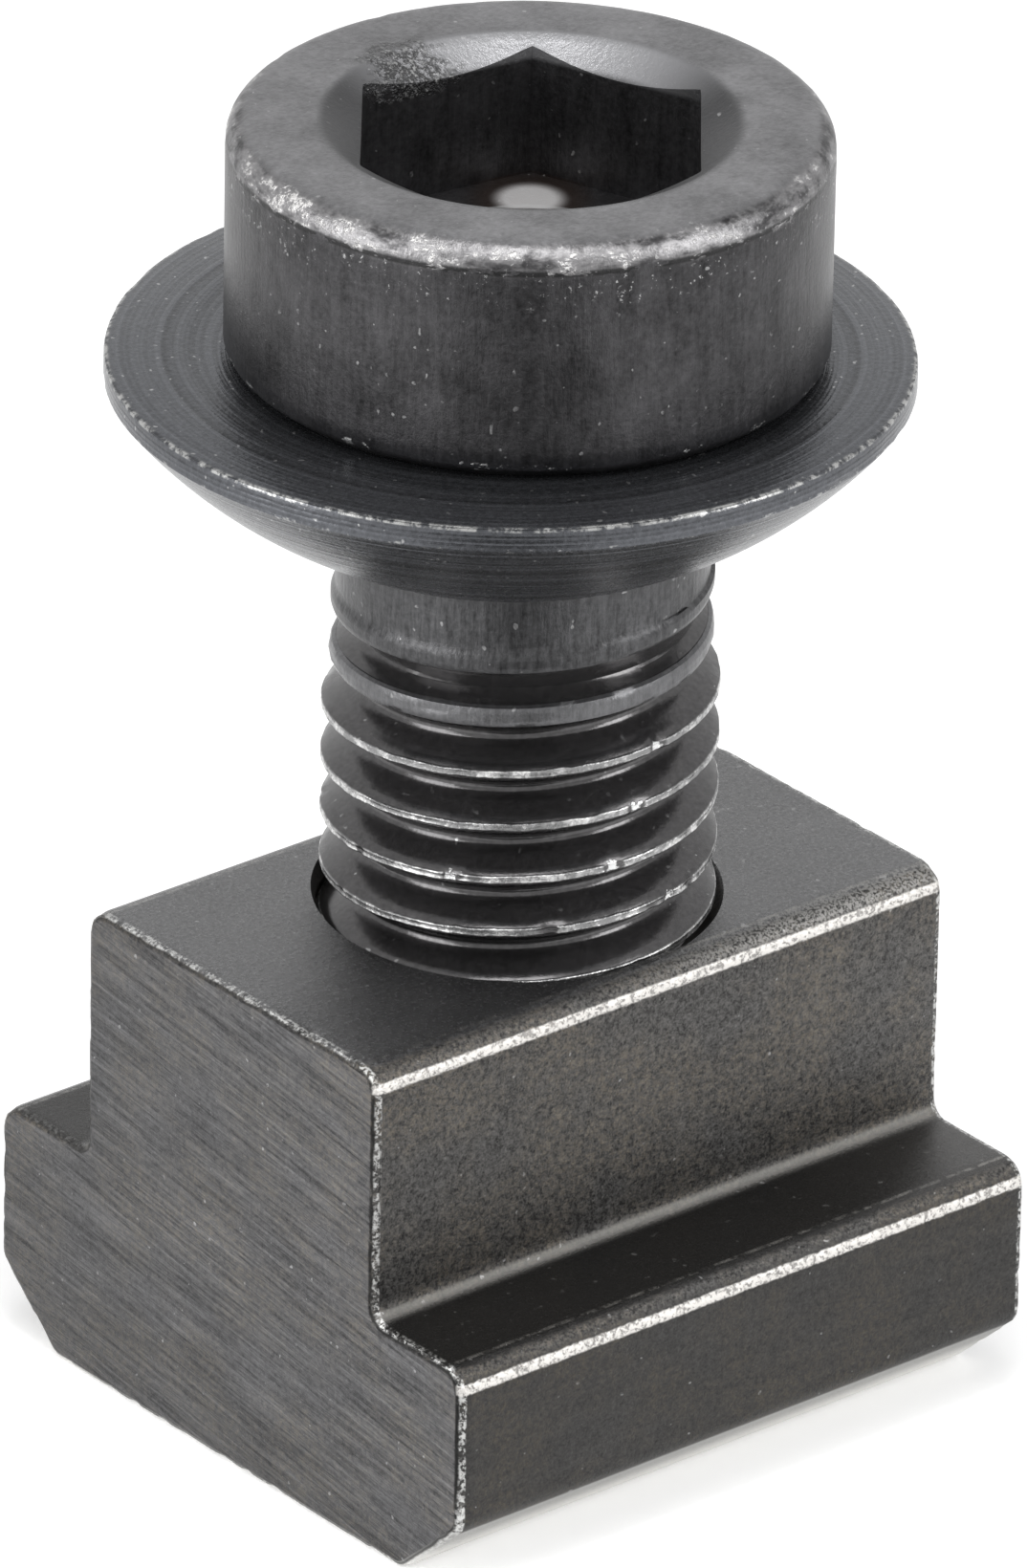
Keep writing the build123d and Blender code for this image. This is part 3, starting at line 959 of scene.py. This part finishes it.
# Painted shade: the underside is also painted darker.
tone = tone + (grain - 0.5) * 1.2 - underside * 0.32
colour = turned.tone(rgb(0.084, 0.087, 0.095), tone.math("MAXIMUM", 0.3))
at_rim = out.above(washer_radius - 0.2, washer_radius - 0.1)
rim_line = turned.z.near(washer_high.z - 0.06, 0.035, 0.04) * at_rim
low_line = turned.z.near(rim_bottom, 0.04, 0.05) * at_rim
worn = rim_line * ragged.above(0.42, 0.60) + low_line * ragged.above(0.56, 0.64) * 0.6
colour = turned.mix(worn * 0.75, colour, rgb(0.5, 0.5, 0.49))
dust = turned.speckle(4.4, 0.0, 0.5).above(0.78, 0.81) * ragged.above(0.42, 0.56)
colour = turned.mix(dust * 0.5, colour, rgb(0.6, 0.6, 0.6))
relief = rings * 1.0 + wide_rings * 0.6 + grain * 0.3
turned.wear(colour, 0.27 + (grain - 0.5) * 0.14, 0.85, relief, 0.035)
spherical_washer.data.materials.append(turned.material)
print("washer finish", len(turned.nodes), "nodes")

# %% [markdown]
# ## The floor and the light
# A pale floor keeps the shadow, and a white surround is seen by the camera and mirrored
# by the steel. Black oxide shows mostly what it mirrors, so the look comes from what
# stands around it: soft lamps left, right and above, and a dark card in front.

# %% Floor
floor_mesh = bmesh.new()
bmesh.ops.create_grid(floor_mesh, x_segments=1, y_segments=1, size=0.6)
floor_data = bpy.data.meshes.new("floor")
floor_mesh.to_mesh(floor_data)
floor_mesh.free()
floor = bpy.data.objects.new("floor", floor_data)
bpy.context.scene.collection.objects.link(floor)
paper = Finish("floor_paper")
paper.feed(paper.shader.inputs["Base Color"], rgb(0.92, 0.92, 0.92))
paper.feed(paper.shader.inputs["Roughness"], 0.9)
paper.feed(paper.shader.inputs["Emission Color"], rgb(1.0, 1.0, 1.0))
paper.feed(paper.shader.inputs["Emission Strength"], 0.2)
floor.data.materials.append(paper.material)
print("floor", [round(side, 2) for side in floor.dimensions])

# %% [markdown]
# ## The surround, the lamps and the card
# The surround is full white for camera rays and for mirrored rays and dimmer for the rest,
# which keeps contrast on the steel. The dark card lies on the floor towards the camera,
# out of its sight, and gives the round parts their dark middle and bright sides.

# %% World and lamps
world = bpy.data.worlds.new("studio")
bpy.context.scene.world = world
world.use_nodes = True
air = world.node_tree
air.nodes.clear()
path = air.nodes.new("ShaderNodeLightPath")
seen = air.nodes.new("ShaderNodeMath")
seen.operation = "MAXIMUM"
air.links.new(path.outputs["Is Camera Ray"], seen.inputs[0])
air.links.new(path.outputs["Is Transmission Ray"], seen.inputs[1])
mirrored = air.nodes.new("ShaderNodeMath")
mirrored.operation = "MULTIPLY_ADD"
air.links.new(path.outputs["Is Glossy Ray"], mirrored.inputs[0])
mirrored.inputs[1].default_value = 1.0
air.links.new(seen.outputs[0], mirrored.inputs[2])
level = air.nodes.new("ShaderNodeMapRange")
level.inputs["To Min"].default_value = 0.35
level.inputs["To Max"].default_value = 1.0
air.links.new(mirrored.outputs[0], level.inputs["Value"])
glow = air.nodes.new("ShaderNodeBackground")
glow.inputs["Color"].default_value = (1, 1, 1, 1)
air.links.new(level.outputs[0], glow.inputs["Strength"])
sky = air.nodes.new("ShaderNodeOutputWorld")
air.links.new(glow.outputs[0], sky.inputs["Surface"])

VIEW_AZIMUTH = math.radians(230.178)
VIEW_HEIGHT = math.radians(26.849)
VIEW_ROLL = math.radians(1.06)


def direction(azimuth, height):
    """The unit vector from the object towards something seen at two angles."""
    level = math.cos(height)
    return Vector((level * math.cos(azimuth), level * math.sin(azimuth), math.sin(height)))


def lamp(name, azimuth, height, distance, size, power):
    """An area lamp that looks at the middle of the object, placed by its two angles."""
    data = bpy.data.lights.new(name, "AREA")
    data.shape = "RECTANGLE"
    data.size, data.size_y = size
    data.energy = power
    light = bpy.data.objects.new(name, data)
    away = direction(azimuth, height)
    light.location = Vector((0, 0, 0.02)) + away * distance
    light.rotation_euler = away.to_track_quat("Z", "Y").to_euler()
    bpy.context.scene.collection.objects.link(light)
    return light


def dark_card(name, azimuth, start, end, width):
    """A dark card lying on the floor, seen only as a reflection in the steel."""
    made = bmesh.new()
    bmesh.ops.create_grid(made, x_segments=1, y_segments=1, size=0.5)
    corners = made.verts[:]
    bmesh.ops.scale(made, vec=((end - start) * MM, width * MM, 1), verts=corners)
    bmesh.ops.translate(made, vec=((start + end) / 2 * MM, 0, 0.5 * MM), verts=corners)
    turn = Matrix.Rotation(azimuth, 3, "Z")
    bmesh.ops.rotate(made, cent=(0, 0, 0), matrix=turn, verts=corners)
    data = bpy.data.meshes.new(name)
    made.to_mesh(data)
    made.free()
    card = bpy.data.objects.new(name, data)
    bpy.context.scene.collection.objects.link(card)
    card.visible_camera = False
    card.visible_diffuse = False
    card.visible_shadow = False
    black_paper = Finish("card_paper")
    black_paper.feed(black_paper.shader.inputs["Base Color"], rgb(0.04, 0.04, 0.04))
    black_paper.feed(black_paper.shader.inputs["Roughness"], 1.0)
    card.data.materials.append(black_paper.material)
    return card


dark_card("front_card", VIEW_AZIMUTH, 36, 140, 46)
lamp("left_softbox", VIEW_AZIMUTH - math.radians(62), math.radians(22), 0.30, (0.16, 0.26), 0.6)
lamp("right_softbox", VIEW_AZIMUTH + math.radians(66), math.radians(30), 0.32, (0.12, 0.26), 0.6)
fill_azimuth = VIEW_AZIMUTH - math.radians(8)
lamp("front_fill", fill_azimuth, math.radians(60), 0.40, (0.22, 0.12), 0.45)
lamp("top_light", VIEW_AZIMUTH, math.radians(82), 0.35, (0.10, 0.10), 0.35)

# %% [markdown]
# ## The camera
# A long lens from a little above, turned to one corner of the nut: the camera's axes are
# worked out from its two angles and its small roll.

# %% Camera
away = direction(VIEW_AZIMUTH, VIEW_HEIGHT)
level_right = Vector((0, 0, 1)).cross(away).normalized()
level_up = away.cross(level_right)
cam_right = level_right * math.cos(VIEW_ROLL) + level_up * math.sin(VIEW_ROLL)
cam_up = level_up * math.cos(VIEW_ROLL) - level_right * math.sin(VIEW_ROLL)
aim = Vector((0, 0, 22)) - cam_right * 0.206 - cam_up * 2.272
spot = (aim + away * 566.74) * MM
camera_data = bpy.data.cameras.new("camera")
camera_data.sensor_width = 36
camera_data.lens = 435.9
camera_data.clip_end = 10
camera = bpy.data.objects.new("camera", camera_data)
camera.matrix_world = Matrix((
    (cam_right.x, cam_up.x, away.x, spot.x),
    (cam_right.y, cam_up.y, away.y, spot.y),
    (cam_right.z, cam_up.z, away.z, spot.z),
    (0, 0, 0, 1),
))
bpy.context.scene.collection.objects.link(camera)
bpy.context.scene.camera = camera
bpy.context.scene.view_settings.view_transform = "Standard"
print("camera at", [round(c, 4) for c in spot])
